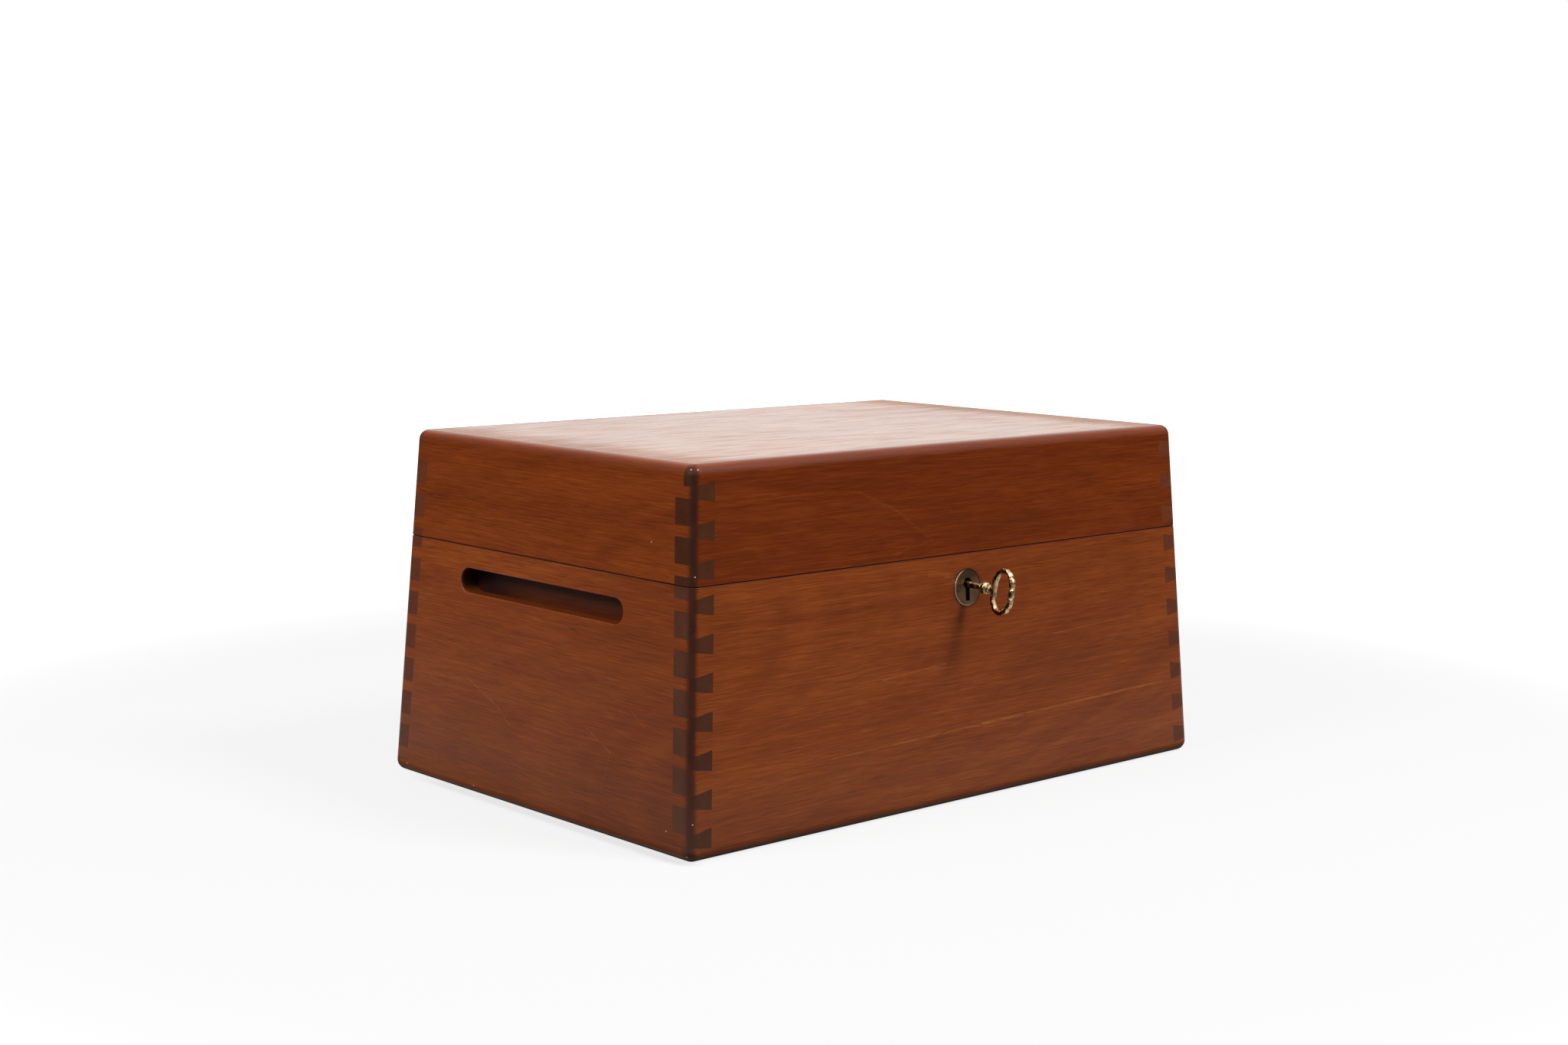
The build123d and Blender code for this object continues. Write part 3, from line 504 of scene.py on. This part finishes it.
class Board(Wood):
    """A mahogany board of the box, with the marks, wear and painted shade of its place."""

    def __init__(self, name):
        super().__init__("mahogany_" + name, *BOARDS[name], MAHOGANY)
        self.from_ends = HALF_X - self.z * LEAN - abs(self.x)
        self.from_fronts = HALF_Y - self.z * LEAN - abs(self.y)

    def from_line(self, start, end):
        """How far a place is from a straight line between two points of the board's face."""
        start, end = Vector((*start, 0)), Vector((*end, 0))
        run = end - start
        out = self.vector("SUBTRACT", [self.spot, tuple(start)])
        share = self.vector("DOT_PRODUCT", [out, tuple(run / run.length_squared)], "Value")
        foot = self.vector("SCALE", {0: tuple(run), 3: share.clamped()})
        return self.vector("LENGTH", [self.vector("SUBTRACT", [out, foot])], "Value")

    def draw_marks(self, marks):
        """Draws streaks and scratches with breaks in them."""
        unbroken = self.grainy(*BREAKS).step(*UNBROKEN)
        for start, end, reach, tone, strength in marks:
            near = self.from_line(start, end).step(reach, reach * MARK_CORE, strength)
            self.stain(near * unbroken, tone)

    def shade_grip_pocket(self):
        """Paints shade into the bottom of the grip pocket, less on its ledge, which faces upward."""
        near = self.from_line((-GRIP_HALF, GRIP_HEIGHT), (GRIP_HALF, GRIP_HEIGHT)).step(*GRIP)
        pocket = near * self.from_ends.step(*GRIP_MOUTH) * self.from_ends.step(*GRIP_FLOOR)
        darkness = GRIP_DARKNESS + self.from_ends.step(*GRIP_DEEP) + self.y.step(*GRIP_BACK)
        self.stain((pocket * darkness * (1.0 - self.upward.step(*GRIP_LEDGE))).clamped(), "pocket_shade")

    def wear_and_shade_corners(self):
        """Darkens the upright corners with handling and painted shade on their rounding, and the seam with
        grime and painted shade.
        """
        blotches, speckles = self.blotch.swing(CORNER_BLOTCHES), self.speckle.swing(CORNER_SPECKLES)
        patchy = CORNER_DARKNESS + blotches + speckles
        corner = self.from_ends.high(self.from_fronts).step(*CORNER)
        self.stain((corner * patchy).clamped(), "grime_and_shade")
        self.stain(abs(self.z - SEAM).step(*SEAM_DIRT_AND_SHADE), "pore")

    def paint_foot_shade_and_reflection(self):
        """Darkens and greys the wood toward the foot; paints the white floor's reflection on its rounding,
        and a black contact shadow where it stands.
        """
        self.stain(self.z.step(*FOOT_DARK[self.axes]), "grime_and_shade")
        self.stain(self.z.step(*FOOT_GREY), "grey_brown")
        bands = self.streaks["band"].swing(FOOT_REFLECTION_BANDS)
        self.stain(self.z.step(*FOOT_REFLECTION) * (FOOT_REFLECTION_LEVEL + bands).clamped(), "grey_brown")
        self.stain(self.z.step(*FOOT_CONTACT_SHADOW), "shadow_black")

    def shade_upper_edge(self):
        """Paints shade on the rounding of the lid's upper edge, by how far it faces upward."""
        rounding = self.upward.step(*ROUNDING_STARTS) - self.upward.step(*ROUNDING_ENDS)
        self.stain(rounding.clamped(), "dark")

    def chip_edges(self):
        """Takes the varnish off in small round chips."""
        chipped = 0.0
        for chip in CHIPS:
            away = self.vector("DISTANCE", [self.place, chip], "Value")
            chipped = away.step(CHIP_RADIUS, CHIP_RADIUS * CHIP_CORE, CHIP_STRENGTH).high(chipped)
        self.stain(chipped, "chip")

    def ring_plate(self):
        """Draws a dark line of painted shade in the gap round the escutcheon, and the polish built up
        against it.
        """
        away = from_plate(self.x, self.z)
        self.stain(away.step(*PLATE_POLISH), "grime_and_shade")
        self.stain(away.step(*PLATE_GAP_SHADE), "shadow_black")

    def rim_coat(self):
        """The lid's coat: thin on its sides, bare along the upper edge, thick on the flat rim."""
        return self.z.step(*EDGE_COAT) + self.upward.step(*RIM_COAT)

    def top_coat(self):
        """Seen low across it, the top shows the varnish's own streaks, and its edges are rubbed duller."""
        ends, right = self.from_ends.step(*ENDS_RUBBED), self.x.step(*RIGHT_RUBBED)
        rubbed = ends + right + self.from_fronts.step(*FRONTS_RUBBED)
        streaks = self.grainy(*REEDS).swing(REED_CONTRAST) + self.streaks["streak"].swing(STREAK_CONTRAST)
        return (TOP_COAT - rubbed + streaks).clamped()


def mahogany(name):
    """The finish of one board of the box: marked, cut, tinted, given wear and painted shade, chipped and
    varnished.
    """
    board = Board(name)
    if name in MARKS:
        board.draw_marks(MARKS[name])
    board.cut_ends(FAINT_ENDS.get(name, 1.0))
    if name in TINTS:
        board.tint(1.0, TINTS[name])
    if name == "case_left_board":
        board.tint(board.along.step(*LIGHTENED_ALONG), LIGHTENED)
    if name in ("case_left_board", "case_right_board"):
        board.shade_grip_pocket()
    board.wear_and_shade_corners()
    if name.startswith("case"):
        board.paint_foot_shade_and_reflection()
    if name.startswith("lid"):
        board.shade_upper_edge()
    board.chip_edges()
    if name == "case_front_board":
        board.ring_plate()
    if name.startswith("lid"):
        return board.varnish(VARNISH_ROUGHNESS + board.z.step(*EDGE_DULL), board.rim_coat())
    return board.varnish(VARNISH_ROUGHNESS, board.top_coat() if name == "top_panel" else THIN_COAT)


def plain_board(name, number):
    """A thin unvarnished divider with grain of its own."""
    axes = "xzy" if "long" in name else "yzx"
    seed = 5.0 + 7.3 * number
    tip = (40.0 * number - 80, 60)
    spread = 50
    divider = Wood("thin_board_" + name, axes, seed, tip, spread, PLAIN_WOOD)
    divider.cut_ends(1.0)
    return divider.varnish(BARE_ROUGHNESS, 0.0)


for board_name in BOARDS:
    dress([board_name], mahogany(board_name))
DIVIDERS = [name for name in frame["nodes"] if "divider" in name]
for divider_number, divider_name in enumerate(DIVIDERS):
    dress([divider_name], plain_board(divider_name, divider_number))


# Metals

# Patches: the detail and roughness of their noise. The fine noise has a contrast and a share of the relief.
PATCHES = (4.0, 0.6)
FINE_CONTRAST = 0.8
FINE_RELIEF = 0.3
RELIEF_HEIGHT = 0.15
# Tarnish on fittings and works: how many times finer than its patches the fine noise is, the patches'
# contrast, and how much rougher they are
FINER = 9.0
PATCH_CONTRAST = 3.0
TARNISH_ROUGHNESS = 0.22
# Bright tone, dull tone, roughness, patches to a millimetre, how much of the metal is dull, relief
METALS = {
    "fitting_brass": (srgb(196, 160, 96), srgb(128, 98, 56), 0.28, 0.09, 0.7, 0.1),
    "works_steel": (srgb(150, 148, 144), srgb(92, 88, 84), 0.34, 0.11, 0.7, 0.1),
    "nail_brass": (srgb(70, 52, 40), srgb(40, 30, 24), 0.5, 0.13, 0.8, 0.2),
}
# The key's brass: its pits to a millimetre with their detail and roughness, its patches to a millimetre, the
# contrast of both, and the tarnish that is everywhere
KEY_BRIGHT = srgb(246, 214, 168)
KEY_DULL = srgb(74, 56, 28)
KEY_PITS = (0.33, 3.0, 0.55)
KEY_PIT_CONTRAST = 3.4
KEY_PATCHES = 0.12
KEY_PATCH_CONTRAST = 2.0
KEY_TARNISH = 0.2
KEY_ROUGHNESS = 0.3
# Its flat sides, by how squarely they face sideways, are darker with tarnish and painted shade, and a little
# smoother
KEY_FLATS = (0.62, 0.86)
KEY_FLATS_TARNISH_AND_SHADE = 0.75
KEY_FLATS_SMOOTHER = 0.06
KEY_PIT_STRENGTH = 0.7
KEY_PIT_DEPTH = 0.5
# The escutcheon's brass: its patches and fine noise to a millimetre, and what dullness adds to its roughness
PLATE_PALE = srgb(146, 114, 82)
PLATE_BROWN = srgb(92, 68, 46)
PLATE_PATCHES = 0.13
PLATE_FINE = 1.2
PLATE_PATCH_CONTRAST = 2.4
PLATE_ROUGHNESS = 0.36
PLATE_DULL_ROUGHNESS = 0.14
PLATE_RELIEF = 0.15
# Its upper part is dark, by the height above a line with this slope, and its rim has painted highlight and
# shade, by the radius
PLATE_DARK_TONE = srgb(50, 34, 24)
PLATE_DARK = (-3.0, 8.0, 0.6)
PLATE_DARK_SLOPE = 0.5
PLATE_RIM = (11.9, 12.5)
# The rim has a painted highlight to the lower left and painted shade to the upper right, by the way to the
# left and down
RIM_HIGHLIGHT_TONE = srgb(206, 178, 150)
RIM_HIGHLIGHT = (-4.0, 6.0, 0.8)
RIM_SHADE_TONE = srgb(42, 30, 23)
RIM_SHADE = (2.0, -6.0, 0.6)
RIM_LEFTWARD = 0.7
RIM_DOWNWARD = 0.4

STEEL_NODES = ["lock_bolt", "lock_case", "lock_drill_pin", "lock_guides", "lock_spring", "bottom_screws"]
FITTING_KINDS = ("stay", "link", "hinge", "left_hinge", "right_hinge", "lock_plate", "lock_screws")


def worn_metal(name):
    """Worn metal: polished where hands touch it, dull and dark in patches."""
    bright, dull, roughness, patches_to_mm, dullness, relief = METALS[name]
    g = Finish(name)
    patches = g.noise(g.place, patches_to_mm, *PATCHES)
    fine = g.noise(g.place, patches_to_mm * FINER)
    dulled = ((0.5 + patches.swing(PATCH_CONTRAST) + fine.swing(FINE_CONTRAST)) * dullness).clamped()
    g.set(Base_Color=g.blend(dulled, bright, dull), Metallic=1.0)
    g.set(Roughness=roughness + dulled * TARNISH_ROUGHNESS)
    g.bump(patches + fine * FINE_RELIEF, relief, RELIEF_HEIGHT)
    return g.material


def cast_brass():
    """Cast brass, pitted and dark in its hollows, with its high places rubbed bright; its flat sides have
    tarnish and painted shade.
    """
    g = Finish("key_brass")
    pits = g.noise(g.place, *KEY_PITS)
    patches = g.noise(g.place, KEY_PATCHES)
    flats = abs(g.facing()["x"]).step(*KEY_FLATS)
    dulled = KEY_TARNISH + pits.swing(KEY_PIT_CONTRAST) + patches.swing(KEY_PATCH_CONTRAST)
    dulled = (dulled + flats * KEY_FLATS_TARNISH_AND_SHADE).clamped()
    g.set(Base_Color=g.blend(dulled, KEY_BRIGHT, KEY_DULL), Metallic=1.0)
    g.set(Roughness=KEY_ROUGHNESS - flats * KEY_FLATS_SMOOTHER)
    g.bump(1.0 - pits, KEY_PIT_STRENGTH, KEY_PIT_DEPTH)
    return g.material


def plate_brass():
    """The escutcheon's grey-brown brass: dark above, paler below, with a painted highlight and shade on its
    rim.
    """
    g = Finish("escutcheon_brass")
    x, y, z = g.parts(g.place)
    patches = g.noise(g.place, PLATE_PATCHES, *PATCHES)
    fine = g.noise(g.place, PLATE_FINE)
    dulled = (0.5 + patches.swing(PLATE_PATCH_CONTRAST) + fine.swing(FINE_CONTRAST)).clamped()
    colour = g.blend(dulled, PLATE_PALE, PLATE_BROWN)
    above = z - PLATE_Z - (x - PLATE_X) * PLATE_DARK_SLOPE
    colour = g.blend(above.step(*PLATE_DARK), colour, PLATE_DARK_TONE)
    rim = from_plate(x, z).step(*PLATE_RIM)
    lower_left = (PLATE_X - x) * RIM_LEFTWARD + (PLATE_Z - z) * RIM_DOWNWARD
    colour = g.blend(rim * lower_left.step(*RIM_HIGHLIGHT), colour, RIM_HIGHLIGHT_TONE)
    colour = g.blend(rim * lower_left.step(*RIM_SHADE), colour, RIM_SHADE_TONE)
    g.set(Base_Color=colour, Metallic=1.0, Roughness=PLATE_ROUGHNESS + dulled * PLATE_DULL_ROUGHNESS)
    g.bump(patches + fine * FINE_RELIEF, PLATE_RELIEF, RELIEF_HEIGHT)
    return g.material


key_brass = cast_brass()
dress(["escutcheon"], plate_brass())
dress(["escutcheon_nails"], worn_metal("nail_brass"))
dress(STEEL_NODES, worn_metal("works_steel"))
dress([name for name in frame["nodes"] if name.startswith(FITTING_KINDS)], worn_metal("fitting_brass"))


# The key, with its turned collar and shouldered bow

KEY_LOW, KEY_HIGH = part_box("key")
KEY_TILT = math.radians(10)
# How much the key droops in its lock for each millimetre that it stands out
KEY_DROOP = 0.046
# Lengths along the key are measured outward from the front
BOW_END = 44.4
FRONT = KEY_LOW[1] / MM + BOW_END
KEY_TIP = FRONT - KEY_HIGH[1] / MM
# The shank and its collar, as outward place and radius
SHANK = [
    (KEY_TIP + 9.5, 0.0), (KEY_TIP + 9.5, 1.45), (KEY_TIP + 0.3, 1.45), (KEY_TIP, 1.75), (KEY_TIP, 2.0),
    (KEY_TIP + 0.3, 2.3), (13.2, 2.2), (13.5, 2.7), (14.0, 3.1), (14.6, 3.1), (15.0, 2.8), (15.2, 2.6),
    (15.5, 3.4), (16.1, 4.1), (16.9, 4.5), (17.8, 4.65), (18.7, 4.5), (19.5, 4.1), (20.1, 3.4), (20.4, 2.5),
    (20.7, 2.8), (21.2, 3.1), (21.8, 3.0), (22.2, 2.4), (22.7, 2.0), (23.6, 1.9), (24.6, 2.3), (25.6, 2.0),
    (25.6, 0.0),
]
SHANK_POINTS = 40
# The bow's middle and half its thickness; its ovals' half width, half height and squareness
BOW_MIDDLE = 34.3
BOW_HALF_THICK = 2.15
BOW_OUTER = (10.1, 16.6, 2.35)
BOW_INNER = (6.4, 13.0, 2.3)
# What the outline gains at the shoulders and loses at the nicks: angle from level in radians, height, width
BOW_SWELLS = [(0.72, 0.5, 0.16), (0.98, -0.75, 0.06), (0.34, -0.55, 0.055), (1.3, -0.35, 0.07)]
# The bow is thinner where it is narrow: the least share of its thickness, and the half width of the full one
BOW_THINNEST = 0.86
BOW_FULL_HALF = 1.9
# Its cross sections round the middle, the points of each, the power that squares them, and a little room
# inside the solid's end
BOW_SECTIONS = 200
BOW_POINTS = 16
BOW_POWER = 0.75
BOW_ROOM = 0.02
# The bit, as outward place from its middle line and height; how far it is from the tip; half its thickness
BIT = [
    (-1.2, -8.0), (-1.2, -1.0), (5.8, -1.0), (5.8, -8.0), (2.8, -8.0), (2.8, -5.8), (1.8, -5.8), (1.8, -8.0),
]
BIT_FROM_TIP = 2.0
BIT_HALF_THICK = 1.0
# Points nearer than this are one, in metres; edges sharper than this stay sharp
SAME_POINT = 1e-6
SHARP_EDGE = math.radians(40)


def key_point(out, up, side):
    """A point of the key: outward, up and sideways in the key's own tilt, drooping in its lock."""
    up -= KEY_DROOP * (out - KEY_TIP)
    x = side * math.cos(KEY_TILT) + up * math.sin(KEY_TILT)
    z = up * math.cos(KEY_TILT) - side * math.sin(KEY_TILT)
    return Vector((KEY_X + x, FRONT - out, KEY_Z + z)) * MM


def turn_angles(count):
    """Angles in equal steps round a full turn."""
    return [2 * math.pi * step / count for step in range(count)]


def skin(mesh, rings, closed):
    """Joins rings of points with faces; a closed skin runs from the last ring to the first again."""
    rows = [[mesh.verts.new(point) for point in ring] for ring in rings]
    count = len(rows[0])
    pairs = list(zip(rows, rows[1:]))
    if closed:
        pairs.append((rows[-1], rows[0]))
    for first, second in pairs:
        for here in range(count):
            after = (here + 1) % count
            mesh.faces.new((first[here], first[after], second[after], second[here]))


def oval_reach(angle, half_wide, half_tall, squareness):
    """How far an oval reaches from its middle in one direction; a squareness of 2 is an ellipse."""
    across, up = abs(math.cos(angle)), abs(math.sin(angle))
    total = (across / half_wide) ** squareness + (up / half_tall) ** squareness
    return total ** (-1 / squareness)


def bow_reach(angle):
    """The bow's outline: an oval with wider shoulders, and nicks on both sides of them."""
    quarter = math.atan2(abs(math.sin(angle)), abs(math.cos(angle)))
    reach = oval_reach(angle, *BOW_OUTER)
    for place, height, wide in BOW_SWELLS:
        reach += height * math.exp(-((quarter - place) / wide) ** 2)
    return reach


def bow_section(angle):
    """The ring of points round the bow at one angle about its middle."""
    outer, inner = bow_reach(angle), oval_reach(angle, *BOW_INNER)
    middle, half = (outer + inner) / 2, (outer - inner) / 2
    thick = BOW_HALF_THICK * (BOW_THINNEST + (1 - BOW_THINNEST) * min(1.0, half / BOW_FULL_HALF))
    ring = []
    for slant in turn_angles(BOW_POINTS):
        wide, deep = math.cos(slant), math.sin(slant)
        along = middle + half * math.copysign(abs(wide) ** BOW_POWER, wide)
        side = thick * math.copysign(abs(deep) ** BOW_POWER, deep)
        out = min(BOW_MIDDLE + along * math.cos(angle), BOW_END - BOW_ROOM)
        ring.append(key_point(out, along * math.sin(angle), side))
    return ring


def shank_ring(out, radius):
    return [key_point(out, radius * math.sin(a), radius * math.cos(a)) for a in turn_angles(SHANK_POINTS)]


def bit_side(side):
    return [key_point(KEY_TIP + BIT_FROM_TIP + out, up, side) for out, up in BIT]


def build_key():
    mesh = bmesh.new()
    skin(mesh, [shank_ring(out, radius) for out, radius in SHANK], False)
    skin(mesh, [bow_section(angle) for angle in turn_angles(BOW_SECTIONS)], True)
    bit_sides = [bit_side(-BIT_HALF_THICK), bit_side(BIT_HALF_THICK)]
    skin(mesh, bit_sides, False)
    for side in bit_sides:
        mesh.faces.new([mesh.verts.new(point) for point in side])
    bmesh.ops.remove_doubles(mesh, verts=mesh.verts, dist=SAME_POINT)
    bmesh.ops.recalc_face_normals(mesh, faces=mesh.faces)
    data = bpy.data.meshes.new("cast_key")
    mesh.to_mesh(data)
    mesh.free()
    for face in data.polygons:
        face.use_smooth = True
    data.set_sharp_from_angle(angle=SHARP_EDGE)
    key = bpy.data.objects.new("cast_key", data)
    bpy.context.collection.objects.link(key)
    data.materials.append(key_brass)
    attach(key, "key")
    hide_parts("key")


build_key()


# Studio

# The floor, in metres: half its size, and how far it lies below the foot
FLOOR_HALF = 12.0
FLOOR_DROP = 0.0002
FLOOR_GREY = (0.08, 0.08, 0.08, 1.0)
# How pale the camera sees it, by the distance from the foot, whose corners are round, and far away
FOOT_CORNER = 12.0
OPEN_FLOOR = (-9.0, -6.0, 0.83)
FAR_FLOOR = (600.0, 1500.0, 0.6)
# The left side stands in its own soft shade, close to the foot: by distance, across and along
SHADE = (9.0, 0.0, 0.12)
SHADE_ACROSS = (-240.0, -256.0)
SHADE_ALONG = (160.0, 100.0)
# What gloss sees of it: nothing far away, and nothing right at the foot
MIRRORED_FLOOR = (1500.0, 800.0, 0.45)
MIRRORED_PAST_FOOT = (0.0, 120.0)
# Level direction from the camera to the box
BACK = (0.67, 0.742)
# The room, by direction: its plain light, what gloss sees of its dark parts, and its bright parts
ROOM_LIGHT = 0.4
ROOM_GLOSS = 0.03
BEHIND = (0.5, 0.8, 1.15)
OVERHEAD = (0.35, 0.6, 0.9)
WINDOW_TO_RIGHT = (0.45, 0.8)
WINDOW_UPWARD = (0.12, 0.32, 1.1)
WHITE = (1.0, 1.0, 1.0, 1.0)
GLOSS_TINT = (1.0, 0.965, 0.93, 1.0)
# The lamps: place in metres, side of the square in metres, watts
LAMPS = {"key_light": ((0.62, -1.56, 2.1), 0.75, 69), "left_light": ((-2.1, 0.1, 1.7), 1.2, 53)}
LAMP_TARGET = (0, 0, 0.12)


def floor_finish():
    """White paper that keeps a soft shadow; to the camera and in reflections it is plain white."""
    g = Finish("studio_floor")
    x, y, z = g.parts(g.place)
    away = (x * x + y * y) ** 0.5
    past_x = (abs(x) - HALF_X + FOOT_CORNER).high(0.0)
    past_y = (abs(y) - HALF_Y + FOOT_CORNER).high(0.0)
    from_foot = (past_x * past_x + past_y * past_y) ** 0.5 - FOOT_CORNER
    shade = from_foot.step(*SHADE) * x.step(*SHADE_ACROSS) * y.step(*SHADE_ALONG)
    pale = from_foot.step(*OPEN_FLOOR) - shade + away.step(*FAR_FLOOR)
    mirrored = away.step(*MIRRORED_FLOOR) * from_foot.step(*MIRRORED_PAST_FOOT)
    seen = g.seen_by("Is Camera Ray") + g.seen_by("Is Transmission Ray")
    g.set(Emission_Color=seen * pale + g.seen_by("Is Glossy Ray") * mirrored, Emission_Strength=1.0)
    g.set(Base_Color=FLOOR_GREY, Roughness=1.0, Specular_IOR_Level=0.0)
    return g.material


def build_floor():
    corners = [(-1, -1), (1, -1), (1, 1), (-1, 1)]
    mesh = bpy.data.meshes.new("studio_floor")
    mesh.from_pydata([(x * FLOOR_HALF, y * FLOOR_HALF, 0) for x, y in corners], [], [(0, 1, 2, 3)])
    floor = bpy.data.objects.new("studio_floor", mesh)
    floor.location.z = -FLOOR_DROP
    bpy.context.collection.objects.link(floor)
    mesh.materials.append(floor_finish())


def build_world():
    """White to the camera; what gloss sees is a white sweep behind the box and a dim room elsewhere."""
    world = bpy.data.worlds.new("studio")
    bpy.context.scene.world = world
    g = Graph(world)
    x, y, z = g.parts(g.add("ShaderNodeTexCoord", {}, [], "Generated"))
    behind = (x * BACK[0] + y * BACK[1]).step(*BEHIND)
    overhead = z.step(*OVERHEAD)
    window = (x * BACK[0] - y * BACK[1]).step(*WINDOW_TO_RIGHT) * z.step(*WINDOW_UPWARD)
    gloss = behind.high(overhead).high(window).high(ROOM_GLOSS)
    plain = (g.seen_by("Is Camera Ray") + g.seen_by("Is Transmission Ray")).low(1.0)
    mirrored = g.seen_by("Is Glossy Ray")
    level = plain + (1.0 - plain) * ((1.0 - mirrored) * ROOM_LIGHT + mirrored * gloss)
    background = g.tree.nodes["Background"]
    g.feed(background.inputs["Color"], g.blend(mirrored, WHITE, GLOSS_TINT))
    g.feed(background.inputs["Strength"], level)


def area_light(name, place, side, power):
    lamp = bpy.data.lights.new(name, "AREA")
    lamp.size = side
    lamp.energy = power
    light = bpy.data.objects.new(name, lamp)
    light.location = place
    light.rotation_euler = (Vector(LAMP_TARGET) - Vector(place)).to_track_quat("-Z", "Y").to_euler()
    bpy.context.collection.objects.link(light)


build_floor()
build_world()
for lamp_name, lamp_facts in LAMPS.items():
    area_light(lamp_name, *lamp_facts)


# Camera, fitted to the box's edges in the photograph

CAMERA_PLACE = (-1.1711, -1.2770, 0.4102)
AZIMUTH, ELEVATION, ROLL = (math.radians(angle) for angle in (-42.065, 7.494, 0.443))
FOCAL_PIXELS = 3019.5
PHOTO_WIDTH = 2048
SENSOR = 36.0
NEAREST = 0.01


def build_camera():
    camera_data = bpy.data.cameras.new("camera")
    camera_data.sensor_width = SENSOR
    camera_data.lens = FOCAL_PIXELS / PHOTO_WIDTH * SENSOR
    camera_data.clip_start = NEAREST
    camera = bpy.data.objects.new("camera", camera_data)
    level_out = math.cos(ELEVATION)
    forward = Vector((-math.sin(AZIMUTH) * level_out, math.cos(AZIMUTH) * level_out, -math.sin(ELEVATION)))
    level = Vector((math.cos(AZIMUTH), math.sin(AZIMUTH), 0))
    above = level.cross(forward)
    right = level * math.cos(ROLL) + above * math.sin(ROLL)
    up = right.cross(forward)
    turn = Matrix((right, up, -forward)).transposed()
    camera.matrix_world = Matrix.Translation(CAMERA_PLACE) @ turn.to_4x4()
    bpy.context.collection.objects.link(camera)
    bpy.context.scene.camera = camera


build_camera()
bpy.context.scene.view_settings.view_transform = "Standard"
